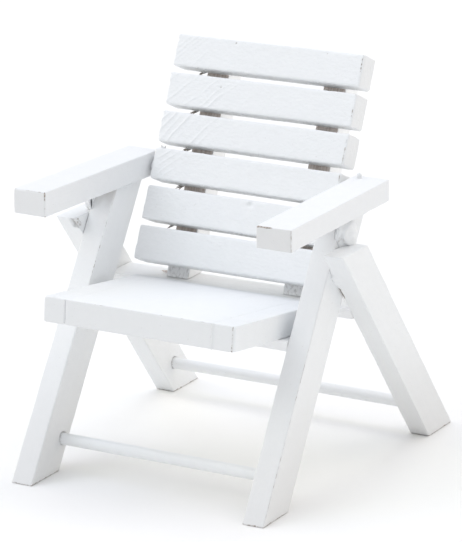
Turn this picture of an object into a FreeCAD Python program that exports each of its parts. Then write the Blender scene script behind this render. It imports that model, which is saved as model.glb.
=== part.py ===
"""Miniature white-painted wooden garden armchair.

Two pairs of crossed legs carry two flat rails, a boarded seat, six back slats on two
uprights, and two square armrests. Round stretchers tie the feet. Everything is glued.

The floor is z = 0, the chair faces -Y, and X = 0 is its middle plane. Units: mm, degrees.
"""

import FreeCAD, Part
import os
from math import cos, radians, sin, tan

from FreeCAD import Vector

# ---- Driving dimensions --------------------------------------------------------------
CHAIR_DEPTH = 110.8          # front foot to rear foot, along the floor
ARRIS = 0.5                  # hand-eased edges of every stick
X_AXIS = Vector(1, 0, 0)
Y_AXIS = Vector(0, 1, 0)
Z_AXIS = Vector(0, 0, 1)

# Front legs: raked backwards as they rise, with the armrests on their tops.
FRONT_LEG_INNER_X = 34.9
FRONT_LEG_THICKNESS = 7.1
FRONT_LEG_WIDTH = 13.0
FRONT_LEG_RAKE = {"left": 33.0, "right": 31.2}
FRONT_FOOT_SETBACK = {"left": 0.0, "right": 2.1}

# Rear legs: raked forwards, glued to the outer faces of the front legs.
REAR_LEG_THICKNESS = 6.6
REAR_LEG_WIDTH = 12.3
REAR_LEG_RAKE = 38.5
REAR_LEG_TOP = 71.6

# Back: six slats on the front of two uprights, all leaning by one angle.
BACK_LEAN = 24.5
BACK_FOOT_Y = -1.0           # front plane of the slats, at the height below
BACK_FOOT_Z = 55.4
SLAT_LENGTH = 64.0
SLAT_THICKNESS = 8.0
SLAT_ARRIS = 0.8
# Each slat, lowest first: start up the back, height, and turn (right end up).
SLATS = [
    (1.0, 10.6, -0.1),
    (13.2, 10.5, -0.5),
    (25.7, 9.8, -0.4),
    (37.5, 9.7, 0.0),
    (49.2, 10.1, 0.1),
    (61.3, 10.0, 0.15),
]
UPRIGHT_CENTRE_X = 20.1
UPRIGHT_WIDTH = 7.7
UPRIGHT_THICKNESS = 8.0
UPRIGHT_TOP = 68.0           # measured up the back, like the slats

# Seat: a wide centre board between two strips, glued edge to edge, sloping to the rear.
SEAT_WIDTH = 64.0
SEAT_STRIP_WIDTH = 7.6
SEAT_LENGTH = 52.6
SEAT_THICKNESS = 7.5
SEAT_SLOPE = 7.7
SEAT_FRONT_Y = -50.6         # upper front edge
SEAT_FRONT_Z = 57.9
SEAT_CORNER_RADIUS = 1.4

# Cross rails: the same thin strip, one under the seat and one behind it.
RAIL_WIDTH = 12.5
RAIL_THICKNESS = 3.1
FRONT_RAIL_SETBACK = 26.4    # from the seat's lower front edge, along its underside
REAR_RAIL_TOP = 50.1

# Armrests: square bars on the front legs, turned in and tipped a little by hand.
ARM_LENGTH = 61.8
ARM_FRONT_Y = -43.9
ARM_INNER_X = 35.0
ARM_WIDTH = {"left": 11.1, "right": 11.3}
ARM_THICKNESS = {"left": 7.6, "right": 6.7}
ARM_UNDERSIDE = {"left": 79.3, "right": 79.6}
ARM_DROP = {"left": 0.9, "right": 0.0}
ARM_TOE_IN = {"left": 1.7, "right": 0.7}

# Round stretchers, in blind holes drilled a little oversize in the legs' inner faces.
STRETCHER_DIAMETER = 3.7
HOLE_DIAMETER = 4.5
HOLE_DEPTH = 4.0
FRONT_STRETCHER = (-37.4, 9.5)     # y, z of its axis
REAR_STRETCHER = (40.3, 9.6)

# Set beads of glue.
LEG_BEAD_RADIUS = 5.6
LEG_BEAD_STANDOUT = 3.2      # how far it stands out from the front leg's outer face
LEG_BEAD_Y = -3.4
LEG_BEAD_Z = 74.4
SLAT_BEAD_RADIUS = 2.4
SLAT_BEAD_OFFSET = 0.8       # from the slat's end to the bead's centre
ARMREST_SLAT = 2             # index of the slat that the armrests are glued to

# ---- Worked-out places ---------------------------------------------------------------
SIDES = {"left": -1, "right": 1}
FRONT_LEG_OUTER_X = FRONT_LEG_INNER_X + FRONT_LEG_THICKNESS
REAR_LEG_INNER_X = FRONT_LEG_OUTER_X


def eased(shape, radius=ARRIS):
    """A stick with every edge rounded."""
    return shape.makeFillet(radius, shape.Edges)


def prism(outline, x_from, x_to):
    """A solid with a flat (y, z) outline, between two x planes."""
    points = [Vector(x_from, y, z) for y, z in outline]
    face = Part.Face(Part.makePolygon(points + points[:1]))
    return face.extrude(Vector(x_to - x_from, 0, 0))


def span(side, inner, thickness):
    """The x range of a piece whose inner face is this far from the middle plane."""
    sign = SIDES[side]
    return sorted((sign * inner, sign * (inner + thickness)))


def leaned(shape, angle, y, z):
    """A shape made at the origin, leaned back by an angle, then moved to (y, z)."""
    shape.rotate(Vector(0, 0, 0), X_AXIS, -angle)
    shape.translate(Vector(0, y, z))
    return shape


# ---- Armrests ------------------------------------------------------------------------
def arm_underside(side, y):
    """Height of an armrest's lower face at y."""
    return ARM_UNDERSIDE[side] - (y - ARM_FRONT_Y) * tan(radians(ARM_DROP[side]))


def armrest(side):
    """A square bar, from its inner lower front corner."""
    width = ARM_WIDTH[side]
    sign = SIDES[side]
    x_from = 0 if sign > 0 else -width
    corner = Vector(x_from, 0, 0)
    bar = eased(Part.makeBox(width, ARM_LENGTH, ARM_THICKNESS[side], corner))
    bar.rotate(Vector(0, 0, 0), X_AXIS, -ARM_DROP[side])
    bar.rotate(Vector(0, 0, 0), Z_AXIS, sign * ARM_TOE_IN[side])
    bar.translate(Vector(sign * ARM_INNER_X, ARM_FRONT_Y, ARM_UNDERSIDE[side]))
    return bar


# ---- Legs and stretchers -------------------------------------------------------------
def stretcher_hole(side, inner_x, axis):
    """A blind hole, set high enough for the stretcher to lie on its lower side."""
    y, z = axis
    sign = SIDES[side]
    play = (HOLE_DIAMETER - STRETCHER_DIAMETER) / 2
    start = Vector(sign * inner_x, y, z + play)
    return Part.makeCylinder(HOLE_DIAMETER / 2, HOLE_DEPTH, start, Vector(sign, 0, 0))


def front_leg(side):
    """A raked flat bar, cut level at the floor and to the armrest's lower face."""
    slope = tan(radians(FRONT_LEG_RAKE[side]))
    run = FRONT_LEG_WIDTH / cos(radians(FRONT_LEG_RAKE[side]))
    foot_front = -CHAIR_DEPTH / 2 + FRONT_FOOT_SETBACK[side]
    outline = [(foot_front, 0), (foot_front + run, 0)]
    drop = tan(radians(ARM_DROP[side]))
    for foot in (foot_front + run, foot_front):
        # Where the raked edge y = foot + slope * z meets the armrest's lower face.
        rise = (arm_underside(side, foot)) / (1 + slope * drop)
        outline.append((foot + slope * rise, rise))
    bar = eased(prism(outline, *span(side, FRONT_LEG_INNER_X, FRONT_LEG_THICKNESS)))
    return bar.cut(stretcher_hole(side, FRONT_LEG_INNER_X, FRONT_STRETCHER))


def rear_leg(side):
    """A bar raked the other way, cut level at the floor and at its free top."""
    slope = tan(radians(REAR_LEG_RAKE))
    run = REAR_LEG_WIDTH / cos(radians(REAR_LEG_RAKE))
    foot_back = CHAIR_DEPTH / 2
    top_back = foot_back - REAR_LEG_TOP * slope
    outline = [
        (foot_back - run, 0),
        (foot_back, 0),
        (top_back, REAR_LEG_TOP),
        (top_back - run, REAR_LEG_TOP),
    ]
    bar = eased(prism(outline, *span(side, REAR_LEG_INNER_X, REAR_LEG_THICKNESS)))
    return bar.cut(stretcher_hole(side, REAR_LEG_INNER_X, REAR_STRETCHER))


def stretcher(inner_x, axis):
    """A round stick from the bottom of one blind hole to the bottom of the other."""
    y, z = axis
    reach = inner_x + HOLE_DEPTH
    return Part.makeCylinder(STRETCHER_DIAMETER / 2, 2 * reach, Vector(-reach, y, z), X_AXIS)


# ---- Seat and rails ------------------------------------------------------------------
def seat_board(x_from, x_to, round_corner_x=None):
    """A board of the seat; an outer strip has one rounded front corner."""
    width = x_to - x_from
    box = Part.makeBox(width, SEAT_LENGTH, SEAT_THICKNESS, Vector(x_from, 0, -SEAT_THICKNESS))
    if round_corner_x is not None:
        corner = [
            edge
            for edge in box.Edges
            if all(abs(v.X - round_corner_x) + abs(v.Y) < 1e-6 for v in edge.Vertexes)
        ]
        box = box.makeFillet(SEAT_CORNER_RADIUS, corner)
    # Only the top and bottom edges at the front and rear are eased, so the boards meet.
    ends = [
        edge
        for edge in box.Edges
        if edge.BoundBox.YLength < 1e-6 and edge.BoundBox.ZLength < 1e-6
    ]
    box = box.makeFillet(ARRIS, ends)
    return leaned(box, SEAT_SLOPE, SEAT_FRONT_Y, SEAT_FRONT_Z)


def seat_boards():
    """The two outer strips and the centre board."""
    outer = SEAT_WIDTH / 2
    seam = outer - SEAT_STRIP_WIDTH
    return {
        "seat_strip_left": seat_board(-outer, -seam, -outer),
        "seat_board_centre": seat_board(-seam, seam),
        "seat_strip_right": seat_board(seam, outer, outer),
    }


def front_rail():
    """The flat strip that the seat rests on, between the front legs."""
    length = 2 * FRONT_LEG_INNER_X
    below = Vector(-FRONT_LEG_INNER_X, FRONT_RAIL_SETBACK, -SEAT_THICKNESS - RAIL_THICKNESS)
    strip = eased(Part.makeBox(length, RAIL_WIDTH, RAIL_THICKNESS, below))
    return leaned(strip, SEAT_SLOPE, SEAT_FRONT_Y, SEAT_FRONT_Z)


def seat_rear_y(z):
    """Where the seat's rear end face is, at a height."""
    slope = radians(SEAT_SLOPE)
    top_y = SEAT_FRONT_Y + SEAT_LENGTH * cos(slope)
    top_z = SEAT_FRONT_Z - SEAT_LENGTH * sin(slope)
    return top_y - (top_z - z) * tan(slope)


def rear_rail():
    """The level strip behind the seat, between the rear legs; the uprights stand on it."""
    length = 2 * REAR_LEG_INNER_X
    front_y = seat_rear_y(REAR_RAIL_TOP)
    start = Vector(-REAR_LEG_INNER_X, front_y, REAR_RAIL_TOP - RAIL_THICKNESS)
    return eased(Part.makeBox(length, RAIL_WIDTH, RAIL_THICKNESS, start))


# ---- Back ----------------------------------------------------------------------------
def slat(start, height, turn):
    """A back slat, turned a little in the plane of the back."""
    corner = Vector(-SLAT_LENGTH / 2, 0, start)
    bar = eased(Part.makeBox(SLAT_LENGTH, SLAT_THICKNESS, height, corner), SLAT_ARRIS)
    bar.rotate(Vector(0, 0, start + height / 2), Y_AXIS, -turn)
    return leaned(bar, BACK_LEAN, BACK_FOOT_Y, BACK_FOOT_Z)


def upright(side):
    """A square stick behind the slats, cut level where it stands on the rear rail."""
    lean = radians(BACK_LEAN)
    front_y = BACK_FOOT_Y + SLAT_THICKNESS / cos(lean)
    run = UPRIGHT_THICKNESS / cos(lean)

    def on_front(z):
        return front_y + (z - BACK_FOOT_Z) * tan(lean)

    # The top end is cut square to the stick.
    top_y = BACK_FOOT_Y + SLAT_THICKNESS * cos(lean) + UPRIGHT_TOP * sin(lean)
    top_z = BACK_FOOT_Z - SLAT_THICKNESS * sin(lean) + UPRIGHT_TOP * cos(lean)
    outline = [
        (on_front(REAR_RAIL_TOP), REAR_RAIL_TOP),
        (on_front(REAR_RAIL_TOP) + run, REAR_RAIL_TOP),
        (top_y + UPRIGHT_THICKNESS * cos(lean), top_z - UPRIGHT_THICKNESS * sin(lean)),
        (top_y, top_z),
    ]
    inner = UPRIGHT_CENTRE_X - UPRIGHT_WIDTH / 2
    return eased(prism(outline, *span(side, inner, UPRIGHT_WIDTH)))


# ---- Glue ----------------------------------------------------------------------------
def leg_bead(side):
    """A low dome in the corner between the rear leg's top and the armrest."""
    sign = SIDES[side]
    centre_x = FRONT_LEG_OUTER_X + LEG_BEAD_STANDOUT - LEG_BEAD_RADIUS
    centre = Vector(sign * centre_x, LEG_BEAD_Y, LEG_BEAD_Z)
    ceiling = arm_underside(side, LEG_BEAD_Y + LEG_BEAD_RADIUS)
    reach = 2 * LEG_BEAD_RADIUS
    x_from = FRONT_LEG_OUTER_X if sign > 0 else -FRONT_LEG_OUTER_X - reach
    corner = Vector(x_from, LEG_BEAD_Y - reach, REAR_LEG_TOP)
    room = Part.makeBox(reach, 2 * reach, ceiling - REAR_LEG_TOP, corner)
    return Part.makeSphere(LEG_BEAD_RADIUS, centre).common(room)


def slat_bead(side, slat_piece, arm_piece):
    """A bead that bridges a slat's end and the armrest beside it."""
    start, height, _turn = SLATS[ARMREST_SLAT]
    lean = radians(BACK_LEAN)
    middle = start + height / 2
    y = BACK_FOOT_Y + middle * sin(lean) + SLAT_THICKNESS * cos(lean) / 2
    z = BACK_FOOT_Z + middle * cos(lean) - SLAT_THICKNESS * sin(lean) / 2
    sign = SIDES[side]
    centre = Vector(sign * (SLAT_LENGTH / 2 + SLAT_BEAD_OFFSET), y, z)
    # The sphere's poles lie inside the wood, so only a plain barrel of it is left.
    sphere = Part.makeSphere(SLAT_BEAD_RADIUS, centre, X_AXIS)
    return sphere.cut(slat_piece).cut(arm_piece)


# ---- The chair -----------------------------------------------------------------------
def chair():
    """Every piece, by node name."""
    nodes = {}
    for side in SIDES:
        nodes[f"front_leg_{side}"] = front_leg(side)
        nodes[f"rear_leg_{side}"] = rear_leg(side)
        nodes[f"armrest_{side}"] = armrest(side)
        nodes[f"back_upright_{side}"] = upright(side)
    nodes["front_stretcher"] = stretcher(FRONT_LEG_INNER_X, FRONT_STRETCHER)
    nodes["rear_stretcher"] = stretcher(REAR_LEG_INNER_X, REAR_STRETCHER)
    nodes["front_rail"] = front_rail()
    nodes["rear_rail"] = rear_rail()
    nodes.update(seat_boards())
    for number, sizes in enumerate(reversed(SLATS), 1):
        nodes[f"back_slat_{number}"] = slat(*sizes)
    nodes["leg_glue"] = Part.makeCompound([leg_bead(side) for side in SIDES])
    glued_slat = nodes[f"back_slat_{len(SLATS) - ARMREST_SLAT}"]
    slat_beads = [slat_bead(side, glued_slat, nodes[f"armrest_{side}"]) for side in SIDES]
    nodes["back_glue"] = Part.makeCompound(slat_beads)
    return nodes


os.makedirs("parts", exist_ok=True)
for name, shape in chair().items():
    shape.exportStep(f"parts/{name}.step")
    box = shape.BoundBox
    print(
        f"{name:20s} solids {len(shape.Solids)} valid {shape.isValid()} volume {shape.Volume:8.1f}"
        f"  x {box.XMin:6.1f} {box.XMax:6.1f}  y {box.YMin:6.1f} {box.YMax:6.1f}"
        f"  z {box.ZMin:6.1f} {box.ZMax:6.1f}"
    )
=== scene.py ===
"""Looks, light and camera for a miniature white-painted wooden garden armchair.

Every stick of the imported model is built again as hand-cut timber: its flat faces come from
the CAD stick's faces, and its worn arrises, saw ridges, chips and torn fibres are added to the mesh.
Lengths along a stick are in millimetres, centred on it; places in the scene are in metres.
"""

import math

import bpy
import numpy as np
from mathutils import Matrix, Vector


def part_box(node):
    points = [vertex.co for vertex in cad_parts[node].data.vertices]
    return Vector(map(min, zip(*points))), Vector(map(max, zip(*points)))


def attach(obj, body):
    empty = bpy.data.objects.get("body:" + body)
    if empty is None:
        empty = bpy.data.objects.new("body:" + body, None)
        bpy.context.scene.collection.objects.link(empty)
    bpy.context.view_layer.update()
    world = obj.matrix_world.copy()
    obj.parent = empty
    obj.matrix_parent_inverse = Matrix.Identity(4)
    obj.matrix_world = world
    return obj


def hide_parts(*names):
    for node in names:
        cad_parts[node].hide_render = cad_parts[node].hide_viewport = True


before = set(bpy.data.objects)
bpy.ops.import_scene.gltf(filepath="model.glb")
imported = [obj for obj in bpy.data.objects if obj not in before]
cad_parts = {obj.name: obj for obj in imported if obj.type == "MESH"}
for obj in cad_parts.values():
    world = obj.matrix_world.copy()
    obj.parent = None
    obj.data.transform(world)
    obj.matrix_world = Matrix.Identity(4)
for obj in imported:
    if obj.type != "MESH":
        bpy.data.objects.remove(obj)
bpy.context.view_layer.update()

MM = 0.001
X, Y, Z = 0, 1, 2
LEAST_ANGLE = math.radians(50)       # between two of a stick's faces

# ---- Camera ----
CAMERA_TARGET = Vector((0.0019, 0.0, 0.0568))
CAMERA_DISTANCE = 1.0012
CAMERA_AZIMUTH = 29.69
CAMERA_ELEVATION = 16.61
CAMERA_ROLL = -0.53
CAMERA_LENS = 223.2

# ---- Light ----
WORLD_COLOUR = (0.93, 0.96, 1.0)
WORLD_STRENGTH = 0.7
# Soft lights: azimuth and elevation that they come from and spread, all in degrees, then
# strength and colour.
SOFT_LIGHTS = {
    "overhead": (0, 86, 30, 0.19, (0.78, 0.78, 1.0)),
    "right_rear_low": (120, 14, 30, 0.33, (1.0, 0.85, 0.66)),
    "right_rear_high": (120, 62, 30, 0.37, (1.0, 0.93, 0.87)),
    "rear_low": (180, 14, 30, 0.25, (1.0, 0.965, 0.96)),
    "rear_high": (192, 62, 30, 0.36, (0.94, 0.98, 0.94)),
    "left_low": (270, 14, 30, 0.56, (1.0, 0.84, 0.6)),
    "left_high": (270, 62, 30, 0.36, (0.67, 0.74, 1.0)),
    "left_front": (300, 38, 30, 0.31, (1.0, 0.93, 1.0)),
    "front": (330, 42, 30, 0.29, (0.92, 1.0, 0.88)),
}
FLOOR_SIZE = 12.0
FLOOR_COLOUR = (0.915, 0.91, 0.895)
FLOOR_SHADE = 0.985          # the weave's darker parts, as a share of the floor's colour

# ---- Noise ----
# Large unrelated numbers, so that no pattern shows.
HASH_DIRECTION = np.array([127.1, 311.7, 74.7])
HASH_SEED_STEP = 19.19
HASH_GAIN = 43758.5453


def lattice(cells, seed):
    """A repeatable number from 0 to 1 for each whole-number point."""
    mixed = cells @ HASH_DIRECTION + HASH_SEED_STEP * seed
    return np.modf(np.abs(np.sin(mixed)) * HASH_GAIN)[0]


def noise(points, size, seed):
    """Smooth noise from -1 to 1, with lumps of this size (one number, or one per axis)."""
    scaled = points / np.asarray(size, float)
    cells = np.floor(scaled)
    part = scaled - cells
    ease = part * part * (3 - 2 * part)
    total = np.zeros(len(points))
    for corner in np.ndindex(2, 2, 2):
        weight = np.prod(np.where(corner, ease, 1 - ease), axis=1)
        total += weight * lattice(cells + np.array(corner), seed)
    return 2 * total - 1


def step(values, low, high):
    """0 below low, 1 above high, and smooth between."""
    part = np.clip((values - low) / (high - low), 0, 1)
    return part * part * (3 - 2 * part)


def spot(points, centre, reach):
    """1 at centre, fading to nothing over about reach."""
    apart = np.linalg.norm((points - np.array(centre)) / np.asarray(reach, float), axis=1)
    return np.exp(-apart * apart)


# ---- Sticks ----
def face_normals(node):
    """The directions of a CAD stick's six flat faces; its eased edges are narrower."""
    faces = {}
    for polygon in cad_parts[node].data.polygons:
        key = tuple(round(value, 2) for value in polygon.normal)
        faces[key] = faces.get(key, Vector()) + polygon.normal * polygon.area
    chosen = []
    for total in sorted(faces.values(), key=lambda vector: -vector.length):
        normal = np.array(total.normalized())
        if all(normal @ other < math.cos(LEAST_ANGLE) for other in chosen):
            chosen.append(normal)
    return chosen[:6]


def corners_of(node):
    """Where a stick's six faces would meet: corners[i, j, k] is low or high on x, y and z."""
    vertices = np.array([vertex.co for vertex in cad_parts[node].data.vertices])
    normals = face_normals(node)
    planes = {}
    for axis in (X, Y, Z):
        for end, sign in enumerate((-1, 1)):
            normal = max(normals, key=lambda candidate: sign * candidate[axis])
            planes[axis, end] = (normal, (vertices @ normal).max())
    corners = np.zeros((2, 2, 2, 3))
    for ends in np.ndindex(2, 2, 2):
        chosen = [planes[axis, end] for axis, end in enumerate(ends)]
        lean = np.array([normal for normal, _offset in chosen])
        corners[ends] = np.linalg.solve(lean, [offset for _normal, offset in chosen])
    return corners


class Stick:
    """A CAD stick's own axes: x, y and z run from face to face, in millimetres."""

    def __init__(self, node):
        self.node = node
        self.corners = corners_of(node)
        self.size = np.array([
            np.linalg.norm(
                np.take(self.corners, 1, axis).mean((0, 1))
                - np.take(self.corners, 0, axis).mean((0, 1))
            )
            for axis in (X, Y, Z)
        ]) / MM
        self.half = self.size / 2

    def place(self, points):
        """Points along the stick, in the scene."""
        share = points / self.size + 0.5
        placed = np.zeros_like(points)
        for ends in np.ndindex(2, 2, 2):
            weight = np.prod(np.where(ends, share, 1 - share), axis=1)
            placed += weight[:, None] * self.corners[ends]
        return placed

    def own(self, placed):
        """Points in the scene, as lengths along the stick."""
        start = self.corners[0, 0, 0]
        edges = [self.corners[1, 0, 0], self.corners[0, 1, 0], self.corners[0, 0, 1]]
        axes = np.array([edge - start for edge in edges])
        share = (placed - start) @ np.linalg.inv(axes)
        return (share - 0.5) * self.size


ARRIS_ZONE = 1.1             # the finely divided strip beside each arris
ARRIS_TICKS = 6


def ticks(length, spacing):
    """Places across one side of a stick, closer together beside its arrises."""
    zone = min(ARRIS_ZONE, length / 4)
    edge = np.linspace(0, zone, ARRIS_TICKS)[:-1]
    count = max(2, round((length - 2 * zone) / spacing) + 1)
    middle = np.linspace(zone, length - zone, count)
    return np.concatenate([edge, middle, length - edge[::-1]]) - length / 2


def box_grid(places):
    """The points and outward quads of a box's surface, from the places along each axis."""
    shape = [len(row) for row in places]
    index = np.arange(np.prod(shape)).reshape(shape)
    sheets = []
    for axis in (X, Y, Z):
        for end in (0, -1):
            sheet = np.take(index, end, axis)
            around = [sheet[:-1, :-1], sheet[1:, :-1], sheet[1:, 1:], sheet[:-1, 1:]]
            quads = np.stack(around, -1).reshape(-1, 4)
            turned = (end == 0) != (axis == Y)
            sheets.append(quads[:, ::-1] if turned else quads)
    quads = np.concatenate(sheets)
    used, packed = np.unique(quads, return_inverse=True)
    grid = np.stack(np.meshgrid(*places, indexing="ij"), -1).reshape(-1, 3)
    return grid[used], packed.reshape(-1, 4)


def rounded(points, half, radius):
    """Points on a box moved onto rounded arrises of this radius, and their normals."""
    inner_half = half - radius[:, None]
    inner = np.clip(points, -inner_half, inner_half)
    outward = points - inner
    normals = outward / np.linalg.norm(outward, axis=1, keepdims=True)
    return inner + normals * radius[:, None], normals


def mesh_object(name, points, faces):
    """A smooth-shaded mesh from points in metres."""
    mesh = bpy.data.meshes.new(name)
    mesh.from_pydata(points.tolist(), [], [list(map(int, face)) for face in faces])
    mesh.shade_smooth()
    built = bpy.data.objects.new(name, mesh)
    bpy.context.scene.collection.objects.link(built)
    return built


def mesh_points(built):
    """A mesh object's points."""
    flat = np.zeros(len(built.data.vertices) * 3)
    built.data.vertices.foreach_get("co", flat)
    return flat.reshape(-1, 3)


def from_arris(points, half):
    """How far each point is from the nearest arris, measured across the faces."""
    inside = np.sort(half - np.abs(points), axis=1)
    return np.clip(inside[:, 1], 0, None)


GRAIN_SHIFT = 37.0           # gives each seed its own part of the grain, in mm


def write_attributes(built, own_points, along, bare_and_shade, seed, soak_and_shade):
    """What the materials read.

    "stick" is the place along the grain, in mm; the second attribute is how bare the wood is,
    with painted shade added in places; the third is how far the paint is darkened, by end grain
    that has soaked it up and by painted shade.
    """
    order = [along] + [axis for axis in (X, Y, Z) if axis != along]
    grain = own_points[:, order] + GRAIN_SHIFT * seed
    vectors = built.data.attributes.new("stick", "FLOAT_VECTOR", "POINT")
    vectors.data.foreach_set("vector", grain.astype(np.float32).ravel())
    if soak_and_shade is None:
        soak_and_shade = np.zeros(len(own_points))
    for name, amounts in (("bare_and_shade", bare_and_shade), ("soak_and_shade", soak_and_shade)):
        values = built.data.attributes.new(name, "FLOAT", "POINT")
        values.data.foreach_set("value", np.clip(amounts, 0, 1).astype(np.float32))


def settle(built, node, slot, own_points, along, bare_and_shade, seed, soak_and_shade=None):
    """A finished piece takes its attributes and the material for its slot, and stands for its CAD
    node.
    """
    write_attributes(built, own_points, along, bare_and_shade, seed, soak_and_shade)
    built.data.materials.append(MATERIALS[slot])
    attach(built, "root")
    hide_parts(node)


DRILL_SIDES = 48
DRILL_CLEAR = 2 * MM         # the drill starts this far outside the leg's inner face
DRILL_WOBBLE = 0.04          # how uneven the hole is, as a share of its radius


def cut_hole(built, axis_point, radius, depth_to):
    """A blind hole along x, from the inner face of a leg to depth_to."""
    side = math.copysign(1, axis_point[X])
    start = axis_point[X] - side * DRILL_CLEAR
    count = DRILL_SIDES
    rings = []
    for place in (start, depth_to):
        for turn in np.arange(count) / count * 2 * math.pi:
            uneven = 1 + DRILL_WOBBLE * math.sin(3 * turn + 1)
            rings.append((
                place,
                axis_point[Y] + radius * uneven * math.cos(turn),
                axis_point[Z] + radius * uneven * math.sin(turn),
            ))
    faces = [list(range(count))[::-1], list(range(count, 2 * count))]
    for index in range(count):
        after = (index + 1) % count
        faces.append([index, after, count + after, count + index])
    if side < 0:
        faces = [face[::-1] for face in faces]
    drill = mesh_object("drill", np.array(rings), faces)
    modifier = built.modifiers.new("hole", "BOOLEAN")
    modifier.operation = "DIFFERENCE"
    modifier.solver = "EXACT"
    modifier.object = drill
    bpy.context.view_layer.update()
    evaluated = built.evaluated_get(bpy.context.evaluated_depsgraph_get())
    cut = bpy.data.meshes.new_from_object(evaluated)
    built.modifiers.clear()
    built.data = cut
    bpy.data.objects.remove(drill)


# A fibre's rings: how far along its length each is, and its share of the full width.
FIBRE_RINGS = ((-0.25, 1.0), (0.35, 0.8), (0.75, 0.45))
FIBRE_CORNERS = (0, 2.1, 4.2)        # about a third of a turn apart, in radians
FIBRE_BEND = 0.5
FIBRE_ASIDE = (0.31, 0.52, 0.8)      # a direction that no fibre points in


def slivers(rng, roots, directions, lengths, widths):
    """Torn fibres: thin three-sided spikes with their roots in the wood, in metres."""
    points = []
    faces = []
    for root, direction, length, width in zip(roots, directions, lengths, widths):
        direction = direction / np.linalg.norm(direction)
        aside = np.cross(direction, FIBRE_ASIDE)
        aside /= np.linalg.norm(aside)
        over = np.cross(direction, aside)
        bend = (rng.random() - 0.5) * FIBRE_BEND * length
        start = len(points)
        for share, thick in FIBRE_RINGS:
            centre = root + direction * length * share + aside * bend * share * share
            for turn in FIBRE_CORNERS:
                spread = aside * math.cos(turn) + over * math.sin(turn)
                points.append(centre + spread * thick * width / 2)
        points.append(root + direction * length + aside * bend)
        faces.append([start + 2, start + 1, start])
        for ring in (0, 3):
            for corner in range(3):
                after = (corner + 1) % 3
                faces.append([
                    start + ring + corner,
                    start + ring + after,
                    start + ring + 3 + after,
                    start + ring + 3 + corner,
                ])
        for corner in range(3):
            faces.append([start + 6 + corner, start + 6 + (corner + 1) % 3, start + 9])
    return np.array(points), faces


# ---- Materials ----
class Shader:
    """A short way to add shader nodes and join them."""

    def __init__(self, name):
        self.material = bpy.data.materials.new(name)
        self.material.use_nodes = True
        self.tree = self.material.node_tree
        self.surface = self.tree.nodes["Principled BSDF"]

    def add(self, kind, inputs, **settings):
        """A node with its settings, and its inputs by name or number."""
        node = self.tree.nodes.new(kind)
        for name, value in settings.items():
            setattr(node, name, value)
        for name, value in inputs.items():
            self.set(node.inputs[name], value)
        return node

    def set(self, socket, value):
        """Joins a socket to another, or gives it a value."""
        if isinstance(value, bpy.types.NodeSocket):
            self.tree.links.new(value, socket)
        else:
            socket.default_value = value

    def attribute(self, name, output="Fac"):
        """What the mesh says at each point."""
        return self.add("ShaderNodeAttribute", {}, attribute_name=name).outputs[output]

    def noise(self, vector, scale, detail=3.0, stretch=(1, 1, 1)):
        """Noise in lumps of about 1 / scale mm, longer along the grain if stretched."""
        mapped = self.add("ShaderNodeMapping", {"Vector": vector, "Scale": stretch})
        made = self.add(
            "ShaderNodeTexNoise",
            {"Vector": mapped.outputs["Vector"], "Scale": scale, "Detail": detail},
        )
        return made.outputs["Fac"]

    def ramp(self, value, low, high, to_low=0.0, to_high=1.0):
        """A value from low to high, remapped and clamped."""
        span = {"From Min": low, "From Max": high, "To Min": to_low, "To Max": to_high}
        kind = "ShaderNodeMapRange"
        node = self.add(kind, {"Value": value, **span}, interpolation_type="SMOOTHSTEP")
        return node.outputs["Result"]

    def maths(self, operation, first, second):
        """One arithmetic step."""
        node = self.add("ShaderNodeMath", {0: first, 1: second}, operation=operation)
        return node.outputs["Value"]

    def mix(self, share, first, second):
        """A mix of two colours."""
        node = self.tree.nodes.new("ShaderNodeMix")
        node.data_type = "RGBA"
        colour_inputs = [socket for socket in node.inputs if socket.type == "RGBA"]
        self.set(node.inputs["Factor"], share)
        for socket, colour in zip(colour_inputs, (first, second)):
            self.set(socket, colour)
        return next(socket for socket in node.outputs if socket.type == "RGBA")


def opaque(colour):
    """A colour with its alpha."""
    return (*colour, 1.0)


BARE_WOOD = ((0.3, 0.26, 0.225), (0.52, 0.47, 0.43))          # darkest and lightest
# Much paler than bare wood: painted light on the uprights' fronts in the shaded gaps between slats.
UPRIGHT_WOOD_LIT = ((0.72, 0.62, 0.56), (0.9, 0.82, 0.77))
THIN_PAINT = (0.66, 0.65, 0.64)
# Paint darkened where it soaked into end grain, and where shade is painted on.
SOAK_AND_SHADE_PAINT = (0.62, 0.6, 0.58)
GRAIN_STRETCH = (0.09, 1.7, 1.7)     # the grain's noise is long and thin
BRUSH_STRETCH = (0.7, 1, 1)
RAGGEDNESS = 0.18                    # how far noise moves the edge of a bare place
THIN_FROM, THIN_TO = 0.2, 0.5        # bareness over which the paint thins
WORN_FROM, WORN_TO = 0.45, 0.62      # bareness over which it gives way to wood
SMOOTHER, ROUGHER = 0.06, 0.08       # how far the roughness varies, down and up
WORN_ROUGHER = 0.3
# How far each noise stands out, as a share of a material's relief.
BRUSH_RELIEF = 1.6
GRAIN_RELIEF = 0.35
CLOUD_RELIEF = 0.6
WORN_RELIEF = -0.8


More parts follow.
